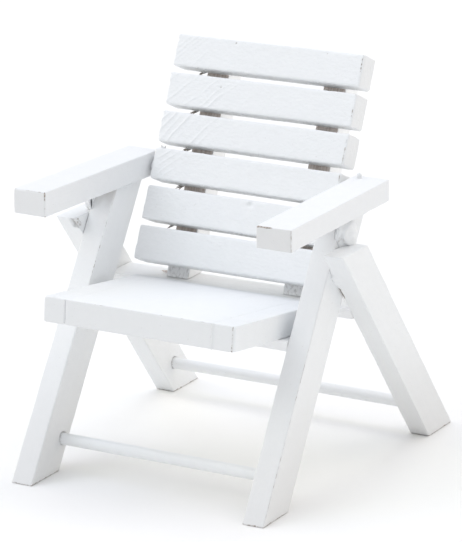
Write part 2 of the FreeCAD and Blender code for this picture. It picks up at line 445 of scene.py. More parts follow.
def painted_wood(name, paint, mottle=0.012, grain=0.012, relief=0.05, roughness=0.5,
                 wood_colours=BARE_WOOD):
    """White paint over wood: mottled, thin over the grain, bare where the mesh says."""
    shader = Shader(name)
    stick = shader.attribute("stick", "Vector")
    bare_and_shade = shader.attribute("bare_and_shade")
    soak_and_shade = shader.attribute("soak_and_shade")
    along = shader.noise(stick, scale=1.0, detail=5.0, stretch=GRAIN_STRETCH)
    cloud = shader.noise(stick, scale=0.3, detail=4.0)
    fine = shader.noise(stick, scale=1.3, detail=5.0, stretch=BRUSH_STRETCH)
    pits = shader.noise(stick, scale=1.5, detail=2.0)

    shade = tuple(value * (1 - mottle) for value in paint)
    coat = shader.mix(shader.ramp(cloud, 0.35, 0.65), opaque(shade), opaque(paint))
    streak = tuple(value * (1 - grain) for value in paint)
    coat = shader.mix(shader.ramp(along, 0.52, 0.68), coat, opaque(streak))
    coat = shader.mix(soak_and_shade, coat, opaque(SOAK_AND_SHADE_PAINT))
    pit_share = shader.ramp(pits, 0.7, 0.78, 0.0, 0.5)
    coat = shader.mix(pit_share, coat, opaque(THIN_PAINT))

    # Thin grey paint, then wood, for bare places and for painted shade alike.
    ragged = shader.maths("ADD", bare_and_shade, shader.ramp(fine, 0.3, 0.7, -RAGGEDNESS, RAGGEDNESS))
    thin = shader.ramp(ragged, THIN_FROM, THIN_TO)
    coat = shader.mix(thin, coat, opaque(THIN_PAINT))
    darkest, lightest = wood_colours
    wood = shader.mix(shader.ramp(along, 0.35, 0.65), opaque(darkest), opaque(lightest))
    worn_and_shaded = shader.ramp(ragged, WORN_FROM, WORN_TO)
    colour = shader.mix(worn_and_shaded, coat, wood)
    shader.set(shader.surface.inputs["Base Color"], colour)

    gloss = shader.ramp(fine, 0.3, 0.7, roughness - SMOOTHER, roughness + ROUGHER)
    gloss = shader.maths("ADD", gloss, shader.maths("MULTIPLY", worn_and_shaded, WORN_ROUGHER))
    shader.set(shader.surface.inputs["Roughness"], gloss)
    shader.surface.inputs["Specular IOR Level"].default_value = 0.4

    height = shader.maths("MULTIPLY", fine, BRUSH_RELIEF)
    for part, share in ((along, GRAIN_RELIEF), (cloud, CLOUD_RELIEF), (worn_and_shaded, WORN_RELIEF)):
        height = shader.maths("ADD", height, shader.maths("MULTIPLY", part, share))
    bump = shader.add(
        "ShaderNodeBump",
        {"Height": height, "Strength": 1.0, "Distance": relief * MM},
    )
    shader.set(shader.surface.inputs["Normal"], bump.outputs["Normal"])
    return shader.material


def plain_floor():
    """A pale matt sweep of paper."""
    shader = Shader("paper")
    where = shader.add("ShaderNodeTexCoord", {}).outputs["Object"]
    weave = shader.noise(where, scale=400.0, detail=4.0)
    tone = tuple(value * FLOOR_SHADE for value in FLOOR_COLOUR)
    colour = shader.mix(weave, opaque(tone), opaque(FLOOR_COLOUR))
    shader.set(shader.surface.inputs["Base Color"], colour)
    shader.surface.inputs["Roughness"].default_value = 0.9
    shader.surface.inputs["Specular IOR Level"].default_value = 0.2
    return shader.material


PAINT = (0.87, 0.88, 0.885)
# Copies of the same white paint, toned for light: the armrests' a touch darker, as painted shade on
# their bright tops; the seat's a touch whiter, and the rails' (also on the uprights) much whiter, as
# painted light where the lamps leave the seat top and rear rail's top too dark.
ARM_PAINT_SHADED = (0.845, 0.855, 0.865)
SEAT_PAINT_LIT = (0.87, 0.885, 0.895)
RAIL_PAINT_LIT = (0.95, 0.95, 0.95)
MATERIALS = {
    "painted_legs": painted_wood("leg_paint", PAINT),
    "painted_arms": painted_wood("arm_paint", ARM_PAINT_SHADED),
    "half_painted_uprights": painted_wood(
        "upright_paint", RAIL_PAINT_LIT, mottle=0.04, relief=0.06, wood_colours=UPRIGHT_WOOD_LIT,
    ),
    "painted_dowels": painted_wood("dowel_paint", PAINT, relief=0.012, roughness=0.42),
    "painted_rails": painted_wood("rail_paint", RAIL_PAINT_LIT, mottle=0.02),
    "painted_seat": painted_wood("seat_paint", SEAT_PAINT_LIT, relief=0.03),
    "painted_slats": painted_wood("slat_paint", PAINT, relief=0.08),
    "set_glue": painted_wood("glue_paint", PAINT, mottle=0.05, relief=0.1, roughness=0.35),
}


# ---- Timber ----
LEAST_EASING = 0.04          # the sharpest that an arris may be
MOST_EASING = 0.7            # the roundest, as a share of the thinnest half-width
FIBRE_CLEAR = 0.3            # a point this far outside its stick belongs to a torn fibre
FIBRE_FRONT = 1.6            # fibres nearer the front face than this are half painted
FIBRE_HALF_PAINTED = 0.4


def timber(node, slot, along, seed, spacing=0.5, radius=0.5, ragged=0.22, wear_and_shade=None,
           relief=None, chips=(), holes=(), fibres=None, end_soak_and_shade=0.15, painted_shade=None,
           uneven_by=0.05):
    """Builds a stick as worn timber, and puts it in the CAD stick's place.

    The wear function (points, stick) says how bare each point is, with painted shade added in
    places; relief(points, normals) how far it stands proud, in mm. A chip is a place (each axis
    -1 to 1), its reach and its depth. A hole is its mouth's place, its radius and how far it
    goes. fibres(stick, rng) gives the roots, directions, lengths and widths of torn fibres. The
    end-grain amount is how far the end grain has drunk the paint, and on the seat and armrests
    it also paints shade on their front ends; the painted-shade function (points, stick) adds
    painted shade elsewhere. uneven_by is how far its faces wander, in mm.
    """
    stick = Stick(node)
    points, quads = box_grid([ticks(length, spacing) for length in stick.size])
    uneven = 0.3 * noise(points, 7.0, seed) + ragged * noise(points, 1.5, seed + 1)
    easing = radius * (1 + uneven)
    for centre, reach, depth in chips:
        easing = easing + depth * spot(points, np.array(centre) * stick.half, reach)
    easing = np.clip(easing, LEAST_EASING, stick.half.min() * MOST_EASING)
    shaped, normals = rounded(points, stick.half, easing)
    swell = uneven_by * (noise(points, 14.0, seed + 2) - 1)
    swell += 0.4 * uneven_by * noise(points, 3.0, seed + 3)
    if relief:
        swell += relief(points, normals)
    shaped = shaped + normals * swell[:, None]
    placed = stick.place(shaped)
    faces = quads.tolist()
    if fibres:
        spikes, spike_faces = slivers(*fibres(stick, np.random.default_rng(seed)))
        faces += [[corner + len(placed) for corner in face] for face in spike_faces]
        placed = np.concatenate([placed, spikes])
    built = mesh_object(node.replace("_", "-"), placed, faces)
    for hole in holes:
        cut_hole(built, *hole)
    own = stick.own(mesh_points(built))
    arris = from_arris(own, stick.half)
    bare_and_shade = 0.35 * step(noise(own, 2.2, seed + 5), 0.1, 0.9) * (1 - step(arris, 0.1, 0.5))
    if wear_and_shade:
        bare_and_shade = np.maximum(bare_and_shade, wear_and_shade(own, stick))
    outside = (np.abs(own) - stick.half).max(1) > FIBRE_CLEAR
    behind = own[:, Y] > FIBRE_FRONT - stick.half[Y]
    if fibres:
        bare_and_shade = np.where(outside, np.where(behind, 1.0, FIBRE_HALF_PAINTED), bare_and_shade)
    soak_and_shade = end_soak_and_shade * (1 - step(stick.half[along] - np.abs(own[:, along]), 0.1, 0.5))
    if painted_shade:
        soak_and_shade = np.maximum(soak_and_shade, painted_shade(own, stick))
    settle(built, node, slot, own, along, bare_and_shade, seed, soak_and_shade)


def on_front(points, stick, near, far):
    """1 on a stick's front face, fading to 0 between these depths behind it."""
    return 1 - step(points[:, Y] + stick.half[Y], near, far)


DASH_LENGTH = 2.4
# How dark a foot's lower edge is: bare wood, with painted contact shade where it meets the floor.
SOLE_BARE_AND_SHADE = 0.52
# Painted shade near the floor: how much darker the legs get, and over what height.
FOOT_SHADE = 0.36
FOOT_SHADE_HEIGHT = 55


def bare_line(points, stick, axis_signs, along, width, seed, share=0.0):
    """A dashed line of bare wood on one arris, given by the signs of its two faces.

    share is where the dashes begin on their noise, from -1 to 1: lower means more line.
    """
    apart = np.zeros(len(points))
    for axis, sign in axis_signs.items():
        apart = np.maximum(apart, stick.half[axis] - sign * points[:, axis])
    dashes = noise(points[:, [along, along, along]], DASH_LENGTH, seed)
    return (1 - step(apart, width * 0.6, width * 1.3)) * step(dashes, share - 0.2, share + 0.2)


def bare_and_shaded_sole(points, stick, seed):
    """The lower edge of a foot: unpainted wood, darkened further as painted contact shade."""
    height = points[:, Z] + stick.half[Z] + 0.25 * noise(points, 1.1, seed)
    return SOLE_BARE_AND_SHADE - SOLE_BARE_AND_SHADE * step(height, 0.3, 0.65)


def shaded_foot(points, stick):
    """Painted shade: paint a little darker toward the floor."""
    return FOOT_SHADE * (1 - step(points[:, Z] + stick.half[Z], 0, FOOT_SHADE_HEIGHT))


# ---- Legs ----
SIDES = {"left": -1, "right": 1}
HOLE_RADIUS = 2.02 * MM       # the rest of the hole is filled with paint
HOLE_DEPTH = 4.0 * MM
HOLE_RAISED = 0.17 * MM       # the stretcher lies on the hole's lower side
# Painted shade on the front legs' fronts: over the whole right one, and under the armrest at the top
# of the left one.
RIGHT_LEG_FRONT_SHADE = 0.22
UNDER_ARM_SHADE = 0.8
UNDER_ARM_SHADE_HEIGHT = 8.0            # how far the painted shade runs down from the left leg's top
# The left rear leg's cavity: each pair is the stretch over which one side of it fades.
CAVITY_WIDTH = (1.9, 2.4)
CAVITY_TOP = (0.1, 0.6)
CAVITY_BOTTOM = (4.0, 4.7)
CAVITY_BACK = (1.8, 2.6)
CAVITY_SUNK = 1.5
# How dark the cavity is: bare wood, and painted shade in the recess.
CAVITY_BARE_AND_SHADE = 0.42
# The glue at the right rear leg's front: place from its inner top front corner, and reach.
SQUEEZED_PLACE = (0.2, 0.0, 11.6)
SQUEEZED_REACH = (1.5, 2.0, 3.4)
SQUEEZED_PROUD = 1.4
# A painted shadow line below it, where the gap between the legs is in shade: pairs as for the cavity.
GAP_SHADE_WIDTH = (0.35, 0.8)
GAP_SHADE_TOP = (15.6, 16.4)
GAP_SHADE_BOTTOM = (20.6, 21.4)


def stretcher_axis(node):
    """The y and z of a round stick's axis."""
    low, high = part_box(node)
    return (low.y + high.y) / 2, (low.z + high.z) / 2


def hole_in(leg_node, side, stretcher_node):
    """The blind hole for a stretcher in a leg's inner face."""
    low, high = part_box(leg_node)
    inner = high.x if SIDES[side] < 0 else low.x
    y, z = stretcher_axis(stretcher_node)
    mouth = (inner, y, z + HOLE_RAISED)
    return mouth, HOLE_RADIUS, inner + SIDES[side] * HOLE_DEPTH


def front_leg_painted_shade(side):
    """Painted shade: darker toward the floor, at the top of the left leg's front under the armrest
    (with dark streaks), and over the right leg's front face.
    """
    def painted_shade(points, stick):
        foot = shaded_foot(points, stick)
        front = on_front(points, stick, 0.2, 0.8)
        if side == "right":
            return np.maximum(foot, RIGHT_LEG_FRONT_SHADE * front)
        streaks = noise(points, (0.8, 3.0, 3.0), 27)
        height = points[:, Z] + 1.2 * streaks
        top = step(height, stick.half[Z] - UNDER_ARM_SHADE_HEIGHT, stick.half[Z] - 0.5)
        return np.maximum(foot, UNDER_ARM_SHADE * top * front)
    return painted_shade


def front_leg_wear_and_shade(side, seed):
    """Bare soles with painted contact shade, and a dark scraped arris; at the right leg's top,
    painted shade in a dark wedge under the armrest.
    """
    def wear_and_shade(points, stick):
        worn_and_shaded = bare_and_shaded_sole(points, stick, seed)
        low_down = 1 - step(points[:, Z], 0.0, 0.5 * stick.half[Z])
        if side == "right":
            line = bare_line(points, stick, {X: 1, Y: -1}, Z, 0.22, seed + 1, -0.1)
            worn_and_shaded = np.maximum(worn_and_shaded, 0.6 * line * low_down)
            # Painted shade: a dark wedge on the outer face, just under the armrest.
            outer = step(points[:, X] - stick.half[X], -0.5, -0.1)
            below_top = stick.half[Z] - points[:, Z] + 0.4 * noise(points, 1.4, seed + 3)
            wedge_shade = 1 - step(below_top - 0.1 * (stick.half[Y] - points[:, Y]), 0.2, 0.8)
            worn_and_shaded = np.maximum(worn_and_shaded, 0.75 * wedge_shade * outer)
        else:
            line = bare_line(points, stick, {X: 1, Y: -1}, Z, 0.26, seed + 1, -0.3)
            upper = step(points[:, Z], 0.1 * stick.half[Z], 0.2 * stick.half[Z])
            worn_and_shaded = np.maximum(worn_and_shaded, 0.5 * line * upper)
        return worn_and_shaded
    return wear_and_shade


def cavity(points, stick):
    """Where a piece has broken from the left rear leg's top, beside the front leg."""
    from_inside = stick.half[X] - points[:, X]
    from_top = stick.half[Z] - points[:, Z]
    return (
        (1 - step(from_inside, *CAVITY_WIDTH)) * (1 - step(from_top, *CAVITY_BOTTOM))
        * step(from_top, *CAVITY_TOP) * on_front(points, stick, *CAVITY_BACK)
    )


def squeezed_glue(points, stick, seed):
    """Glue that came out where the right rear leg's front meets the front leg."""
    place = np.stack([
        points[:, X] + stick.half[X],
        points[:, Y] + stick.half[Y],
        stick.half[Z] - points[:, Z],
    ], 1)
    lump = spot(place, SQUEEZED_PLACE, SQUEEZED_REACH)
    return lump * (1 + 0.6 * noise(points, 1.1, seed))


def rear_leg_wear_and_shade(side, seed):
    """Bare soles with painted contact shade; beside the front leg, dark bare wood and painted shade
    in the left leg's cavity, and on the right leg a painted shadow line in the gap.
    """
    def wear_and_shade(points, stick):
        worn_and_shaded = bare_and_shaded_sole(points, stick, seed)
        if side == "left":
            return np.maximum(worn_and_shaded, CAVITY_BARE_AND_SHADE * cavity(points, stick))
        below_top = stick.half[Z] - points[:, Z]
        from_inside = points[:, X] + stick.half[X] + 0.2 * noise(points, 0.8, seed + 2)
        at_front = on_front(points, stick, 0.5, 1.0)
        gap_shade = (1 - step(from_inside, *GAP_SHADE_WIDTH)) * at_front
        gap_shade *= step(below_top, *GAP_SHADE_TOP) * (1 - step(below_top, *GAP_SHADE_BOTTOM))
        return np.maximum(worn_and_shaded, gap_shade)
    return wear_and_shade


def rear_leg_relief(side, seed):
    """A low grain, with the cavity or the squeezed glue."""
    stick = Stick(f"rear_leg_{side}")

    def relief(points, normals):
        swell = 0.02 * noise(points, (1.2, 1.2, 9.0), seed)
        at_front = step(-normals[:, Y], 0.3, 0.8)
        if side == "left":
            return swell - CAVITY_SUNK * at_front * cavity(points, stick)
        return swell + SQUEEZED_PROUD * at_front * squeezed_glue(points, stick, seed + 1)
    return relief


def wood_relief(seed, size, height):
    """A low, uneven grain."""
    def relief(points, _normals):
        return height * noise(points, size, seed)
    return relief


def add_legs():
    for side, sign in SIDES.items():
        node = f"front_leg_{side}"
        timber(
            node, "painted_legs", Z, 20 + sign, radius=0.45,
            wear_and_shade=front_leg_wear_and_shade(side, 30 + sign),
            relief=wood_relief(31, (1.2, 1.2, 9.0), 0.02),
            holes=[hole_in(node, side, "front_stretcher")], painted_shade=front_leg_painted_shade(side),
        )
        node = f"rear_leg_{side}"
        timber(
            node, "painted_legs", Z, 24 + sign, spacing=0.4, radius=0.45,
            wear_and_shade=rear_leg_wear_and_shade(side, 34 + sign),
            relief=rear_leg_relief(side, 35),
            holes=[hole_in(node, side, "rear_stretcher")],
            painted_shade=shaded_foot if side == "right" else None, end_soak_and_shade=0.0,
        )


# ---- Armrests ----
def arm_wear(side, seed):
    """Chipped lines at the front end, where the paint has come off the arrises."""
    def wear_and_shade(points, stick):
        share = -0.25 if side == "left" else -0.6
        width = 0.42 if side == "left" else 0.32
        line = bare_line(points, stick, {X: 1, Y: -1}, Z, width, seed, share)
        if side == "left":
            top = 0.36 * bare_line(points, stick, {Z: 1, Y: -1}, X, 0.34, seed + 3, -0.6)
        else:
            top = bare_line(points, stick, {Z: 1, Y: -1}, X, 0.5, seed + 3, -0.8)
            top *= 1 - step(points[:, X], -1.5, 0.5)
        return np.maximum(0.6 * line, top)
    return wear_and_shade


# How dark the armrests' ends are: paint soaked into the end grain, and painted shade on the front
# ends.
ARM_END_SOAK_AND_SHADE = {"left": 0.28, "right": 0.42}


def add_armrests():
    for side, sign in SIDES.items():
        timber(
            f"armrest_{side}", "painted_arms", Y, 40 + sign, spacing=0.4, radius=0.4,
            ragged=0.35, wear_and_shade=arm_wear(side, 44 + sign),
            relief=wood_relief(45, (1.6, 8.0, 1.2), 0.015),
            chips=[
                ((-0.6, -1, 1), (2.5, 0.9, 0.9), 0.5),
                ((1, -1, -0.2), (0.8, 0.8, 1.4), 0.35),
                ((1, -1, 0.6), (0.6, 0.6, 0.7), 0.3),
            ],
            end_soak_and_shade=ARM_END_SOAK_AND_SHADE[side],
        )


# ---- Seat and rails ----
SEAM_RIDGE = 0.22            # height of the ridge of paint in the right seam
SEAM_RIDGE_WIDTH = 0.3
SEAM_RIDGE_AT = -3.6         # across the right strip


def seat_relief(seed, ridge_at=None):
    """Nearly flat; a ridge of paint may stand on the front of a seam."""
    def relief(points, normals):
        swell = 0.015 * noise(points, (2.0, 9.0, 2.0), seed)
        if ridge_at is not None:
            beside = np.abs(points[:, X] - ridge_at)
            front = step(-normals[:, Y], 0.4, 0.9)
            swell += SEAM_RIDGE * np.exp(-(beside / SEAM_RIDGE_WIDTH) ** 2) * front
        return swell
    return relief


def seat_wear(seed):
    """Chips along the front top arris."""
    def wear_and_shade(points, stick):
        line = bare_line(points, stick, {Z: 1, Y: -1}, X, 0.2, seed, 0.35)
        return 0.5 * line
    return wear_and_shade


def corner_wear(seed):
    """A dark line down the rounded front corner of the right strip."""
    def wear_and_shade(points, stick):
        at_front = on_front(points, stick, 0.3, 0.7)
        beside = np.abs(points[:, X] - (stick.half[X] - 0.8))
        line = (1 - step(beside, 0.08, 0.3)) * at_front
        return 0.5 * line * step(noise(points, 2.0, seed), -0.8, -0.3)
    return wear_and_shade


# How dark the seat boards' ends are: paint soaked into the end grain, and painted shade on the front
# edge.
SEAT_END_SOAK_AND_SHADE = 0.27
# Arrises beside the seams: tight along both tops, and in front tight where the right seam
# is filled, and rounder where the left one is open.
TIGHT_RIGHT = ((1, 0, 1), (0.8, 200.0, 0.8), -0.3)
TIGHT_LEFT = ((-1, 0, 1), (0.8, 200.0, 0.8), -0.3)
OPEN_RIGHT = ((1, -1, 0), (0.8, 0.8, 200.0), 0.3)
OPEN_LEFT = ((-1, -1, 0), (0.8, 0.8, 200.0), 0.3)
FILLED_RIGHT = ((1, -1, 0), (0.8, 0.8, 200.0), -0.3)
FILLED_LEFT = ((-1, -1, 0), (0.8, 0.8, 200.0), -0.3)


def add_seat():
    timber(
        "seat_board_centre", "painted_seat", Y, 50, spacing=0.6, radius=0.3, ragged=0.3,
        wear_and_shade=seat_wear(51), relief=seat_relief(52), end_soak_and_shade=SEAT_END_SOAK_AND_SHADE, uneven_by=0.01,
        chips=[
            TIGHT_LEFT,
            TIGHT_RIGHT,
            FILLED_RIGHT,
            OPEN_LEFT,
            ((0.26, -1, -1), (0.9, 0.8, 0.8), 0.8),
            ((-0.62, -1, -1), (0.6, 0.6, 0.6), 0.5),
        ],
    )
    timber(
        "seat_strip_left", "painted_seat", Y, 54, radius=0.3, ragged=0.3,
        wear_and_shade=seat_wear(55), relief=seat_relief(56), end_soak_and_shade=SEAT_END_SOAK_AND_SHADE, uneven_by=0.01,
        chips=[TIGHT_RIGHT, OPEN_RIGHT, ((-1, -1, 0.0), (1.0, 1.0, 12.0), 0.8)],
    )
    timber(
        "seat_strip_right", "painted_seat", Y, 58, radius=0.3, ragged=0.3,
        wear_and_shade=corner_wear(59), relief=seat_relief(60, ridge_at=SEAM_RIDGE_AT),
        end_soak_and_shade=SEAT_END_SOAK_AND_SHADE, uneven_by=0.01,
        chips=[TIGHT_LEFT, FILLED_LEFT, ((1, -1, 0.0), (1.0, 1.0, 12.0), 0.8)],
    )


def add_rails():
    for node, seed in (("front_rail", 62), ("rear_rail", 66)):
        timber(
            node, "painted_rails", X, seed, radius=0.4, ragged=0.35,
            relief=wood_relief(seed, (8.0, 1.0, 1.0), 0.03),
        )


# ---- Back ----
RIDGE_WIDTH = 0.38
SLAT_LEFT_END = -32.0
# For each slat from the top: its saw ridges' spacing, slope, reach and height.
SAW_RIDGES = [
    (1.9, 1.0, 12.0, 0.07),
    (2.5, 0.9, 24.0, 0.17),
    (2.8, 1.2, 22.0, 0.17),
    (2.9, 0.9, 12.0, 0.13),
    (3.0, 1.0, 7.0, 0.08),
    (3.0, 1.0, 5.0, 0.06),
]
# Marks on the slats' faces: slat, x and z on its front face, reach, and how far the mark
# stands out, or sinks in where that is negative.
SLAT_MARKS = [
    (1, 19.4, 3.9, (1.6, 9.0, 0.35), -0.14),
    (1, -11.6, 3.8, (0.5, 9.0, 0.4), -0.12),
    (2, -13.8, 1.9, (0.35, 9.0, 0.35), -0.25),
    (3, 5.9, -1.2, (0.3, 9.0, 2.4), 0.07),
    (5, 4.0, 3.8, (0.9, 9.0, 0.8), -0.5),
    (5, 3.1, 4.3, (0.5, 9.0, 0.5), 0.3),
    (6, -7.1, -3.3, (0.8, 9.0, 0.8), -0.1),
]


DEEP_MARK = -0.1             # marks deeper than this have lost their paint
HAIRS = 34
HAIR_WIDTH = 0.22
SPLINTERS = 4
TUFTS = 9                    # fibres that stand on slat 4, beside the left armrest


def saw_ridges(points, number, seed):
    """Slanting ridges that a coarse saw left on the left part of a slat's front."""
    spacing, slope, reach, height = SAW_RIDGES[number - 1]
    across = points[:, X] - points[:, Z] / slope + 0.9 * noise(points, 5.0, seed)
    line_number = np.round(across / spacing)
    beside = (across / spacing - line_number) * spacing
    zeros = np.zeros_like(line_number)
    strength = step(lattice(np.stack([line_number, zeros, zeros], 1), seed), -0.2, 0.8)
    broken = step(noise(points, 3.0, seed + 1), -0.8, 0.0)
    from_end = points[:, X] - SLAT_LEFT_END
    fade = 1 - step(from_end, 0.5 * reach, 1.1 * reach)
    return height * np.exp(-(beside / RIDGE_WIDTH) ** 2) * strength * broken * (0.15 + fade)


def slat_relief(number, seed):
    """Sawn faces: ridges in front, a torn lower arris, and single marks."""
    def relief(points, normals):
        front = step(-normals[:, Y], 0.5, 0.9)
        swell = front * saw_ridges(points, number, seed)
        swell += 0.03 * noise(points, (1.3, 0.7, 0.6), seed + 3)
        swell += 0.02 * noise(points, (0.7, 0.5, 0.5), seed + 4)
        for slat, x, z, reach, proud in SLAT_MARKS:
            if slat == number:
                swell += proud * front * spot(points, (x, points[:, Y].min(), z), reach)
        return swell
    return relief


def slat_wear_and_shade(number, seed):
    """Below, torn bare wood with painted shade, darker toward the back and lighter near the left end;
    a scraped right front arris, and specks on the top arris.
    """
    def wear_and_shade(points, stick):
        height = points[:, Z] + stick.half[Z]
        below = 1 - step(height, 0.1, 0.35)
        inward = points[:, Y] + stick.half[Y] + 1.6 * noise(points, (3.0, 1.5, 1.5), seed)
        from_end = points[:, X] + stick.half[X]
        # Painted shade on the underside, with some torn bare wood: darker toward the back, lighter
        # near the left end.
        torn_and_shaded = below * (0.1 + 0.9 * step(inward, 1.2, 6.0)) * (0.3 + 0.7 * step(from_end, 2, 12))
        at_front = on_front(points, stick, 0.15, 0.45)
        beside = np.abs(points[:, X] - (stick.half[X] - 0.6))
        scraped = (1 - step(beside, 0.08, 0.26)) * at_front
        scraped *= step(noise(points, 1.3, seed + 1), -0.35, 0.15)
        specks = bare_line(points, stick, {Z: 1, Y: -1}, X, 0.2, seed + 2, 0.72)
        worn_and_shaded = np.maximum(0.2 * torn_and_shaded, np.maximum(0.5 * scraped, 0.45 * specks))
        for slat, x, z, reach, proud in SLAT_MARKS:
            if slat == number and proud < DEEP_MARK:
                size = np.minimum(np.array(reach), 0.4)
                mark = spot(points, (x, -stick.half[Y], z), size * (1, 2, 1))
                worn_and_shaded = np.maximum(worn_and_shaded, 0.6 * mark)
        return worn_and_shaded
    return wear_and_shade


def columns(*parts):
    """Rows of x, y and z from their columns, any of which may be one number."""
    return np.stack(np.broadcast_arrays(*parts), 1)


def draws(rng, count):
    """A function that draws this many numbers between two bounds."""
    return lambda low, high: rng.uniform(low, high, count)


def slat_fibres(number):
    """Hairs along the torn lower arris, splinters beside an upright, and slat 4's tufts."""
    def fibres(stick, rng):
        hairs = draws(rng, HAIRS)
        splinters = draws(rng, SPLINTERS)
        tufts = draws(rng, TUFTS)
        groups = [(
            columns(
                hairs(-0.97, 0.97) * stick.half[X],
                -stick.half[Y] + hairs(0.1, 1.4),
                -stick.half[Z] + 0.05,
            ),
            hairs(0.25, 0.7),
            columns(rng.choice([-1, 1], HAIRS) * hairs(0.5, 1), hairs(-0.3, 0.1), hairs(-0.55, -0.15)),
            np.full(HAIRS, HAIR_WIDTH),
        )]
        if number < 6:
            groups.append((
                columns(
                    -UPRIGHT_OUTER + splinters(-0.8, 0.6),
                    stick.half[Y] - splinters(0.2, 1.5),
                    -stick.half[Z] + 0.1,
                ),
                splinters(1.6, 3.0),
                columns(-splinters(0.8, 1.0), splinters(-0.2, 0.2), -splinters(0.35, 0.75)),
                splinters(0.5, 0.8),
            ))
        if number == 4:
            groups.append((
                columns(tufts(-31.0, -28.6), -stick.half[Y] + tufts(0.5, 1.6), stick.half[Z] - 0.1),
                tufts(0.6, 1.2),
                columns(tufts(-0.8, 0.8), tufts(-0.3, 0.3), 1.0),
                tufts(0.25, 0.45),
            ))
        places, lengths, aims, widths = (np.concatenate(rows) for rows in zip(*groups))
        roots = stick.place(places)
        tips = stick.place(places + aims)
        return rng, roots, tips - roots, lengths * MM, widths * MM
    return fibres


def add_slats():
    for number in range(1, 7):
        seed = 70 + 7 * number
        timber(
            f"back_slat_{number}", "painted_slats", X, seed, spacing=0.24, radius=0.75,
            ragged=0.4, wear_and_shade=slat_wear_and_shade(number, seed), relief=slat_relief(number, seed),
            fibres=slat_fibres(number),
        )


UPRIGHT_OUTER = 24.0         # from a slat's middle to the uprights' outer sides
FILLET = 1.5                 # paint in the corners where an upright meets a slat's top
FOOT_PAINTED = 0.75          # how much the paint below slat 6 hides


def gap_floors(stick):
    """How high the tops of slats 2 to 6 lie on an upright."""
    floors = []
    for number in range(2, 7):
        top = Stick(f"back_slat_{number}").corners[:, 1, 1].mean(0)
        floors.append(stick.own(top[None, :])[0, Z])
    return floors


def upright_wear(seed):
    """The front is bare wood: painted at its sides, in each gap's corners and at the foot."""
    def wear_and_shade(points, stick):
        front = on_front(points, stick, 0.1, 0.35)
        from_side = stick.half[X] - np.abs(points[:, X]) + 0.25 * noise(points, 1.5, seed)
        seen = step(from_side, 0.05, 0.4)
        for floor in gap_floors(stick):
            across = np.clip(FILLET - from_side, 0, None)
            down = np.clip(FILLET - (points[:, Z] - floor - 0.2), 0, None)
            near = (points[:, Z] > floor - 1.0) & (points[:, Z] < floor + 2.5)
            outside = step(np.hypot(across, down), FILLET * 0.9, FILLET * 1.05)
            seen = np.where(near, seen * (1 - outside), seen)
        below = Stick("back_slat_6").corners[:, 0, 0].mean(0)
        foot = 1 - step(points[:, Z] - stick.own(below[None, :])[0, Z], -1.5, -0.5)
        return front * seen * (1 - FOOT_PAINTED * foot)
    return wear_and_shade


def foot_splinter(stick, rng):
    """A long torn piece at the left upright's foot, lying on the rail."""
    root = np.array([[-stick.half[X] + 0.4, -stick.half[Y] + 2.2, -stick.half[Z] + 0.5]])
    roots = stick.place(root)
    tips = stick.place(root + np.array([[-1.0, 0.05, 0.1]]))
    return rng, roots, tips - roots, np.array([4.4]) * MM, np.array([1.1]) * MM


def add_uprights():
    for side, sign in SIDES.items():
        timber(
            f"back_upright_{side}", "half_painted_uprights", Z, 120 + sign, spacing=0.35,
            radius=0.3, wear_and_shade=upright_wear(124 + sign),
            relief=wood_relief(125, (0.8, 0.8, 6.0), 0.03),
            fibres=foot_splinter if side == "left" else None,
        )


# ---- Stretchers ----
STRETCHER_SIDES = 40
STRETCHER_RINGS = 230
STRETCHER_EASING = 0.35      # how far the ends are rounded
STRETCHER_BOW = 0.12


def add_stretcher(node, seed):
    """A round stick that isn't quite straight or quite round."""
    low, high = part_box(node)
    y, z = stretcher_axis(node)
    radius = (high.z - low.z) / 2 / MM
    length = (high.x - low.x) / MM
    around = STRETCHER_SIDES
    middle = np.linspace(0.4, length - 0.4, STRETCHER_RINGS)
    rings = np.concatenate([[0, 0.12], middle, [length - 0.12, length]])
    turns = np.arange(around) / around * 2 * math.pi
    inset = np.clip(STRETCHER_EASING - np.minimum(rings, length - rings), 0, None)
    along, turn = np.meshgrid(rings, turns, indexing="ij")
    unit = np.stack([along, np.cos(turn) * radius, np.sin(turn) * radius], -1).reshape(-1, 3)
    size = radius - np.repeat(inset, around) - 0.05
    size += 0.03 * noise(unit, (9.0, 1.6, 1.6), seed) + 0.006 * noise(unit, 1.3, seed + 1)
    bow = STRETCHER_BOW * np.sin(unit[:, 0] / length * math.pi)
    flat_turn = turn.reshape(-1)
    points = np.stack([
        low.x / MM + unit[:, 0],
        y / MM + np.cos(flat_turn) * size,
        z / MM + np.sin(flat_turn) * size + bow - 0.06,
    ], 1)
    faces = []
    for ring in range(len(rings) - 1):
        for corner in range(around):
            after = (corner + 1) % around
            start = ring * around
            faces.append([
                start + after, start + around + after, start + around + corner, start + corner,
            ])
    last = (len(rings) - 1) * around
    faces.append(list(range(around))[::-1])
    faces.append(list(range(last, last + around)))
    built = mesh_object(node.replace("_", "-"), points * MM, faces)
    ends = np.minimum(unit[:, 0], length - unit[:, 0])
    smear = 0.3 * (1 - step(ends + 0.5 * noise(unit, 1.0, seed + 2), 4.1, 4.8))
    settle(built, node, "painted_dowels", unit, X, smear, seed)


# ---- Glue ----
BEAD_AROUND = 48             # points round a bead
BEAD_UP = 28                 # and rings from its one end to the other
LEG_BEAD_ACROSS, LEG_BEAD_UP = 3.7, 4.9      # radii
BACK_BEAD_RADIUS = 2.3
PEAK_PLACE = (36.9, -2.2, 5.0)       # on slat 4, beside the right armrest
PEAK_RADII = (0.7, 0.7, 1.05)


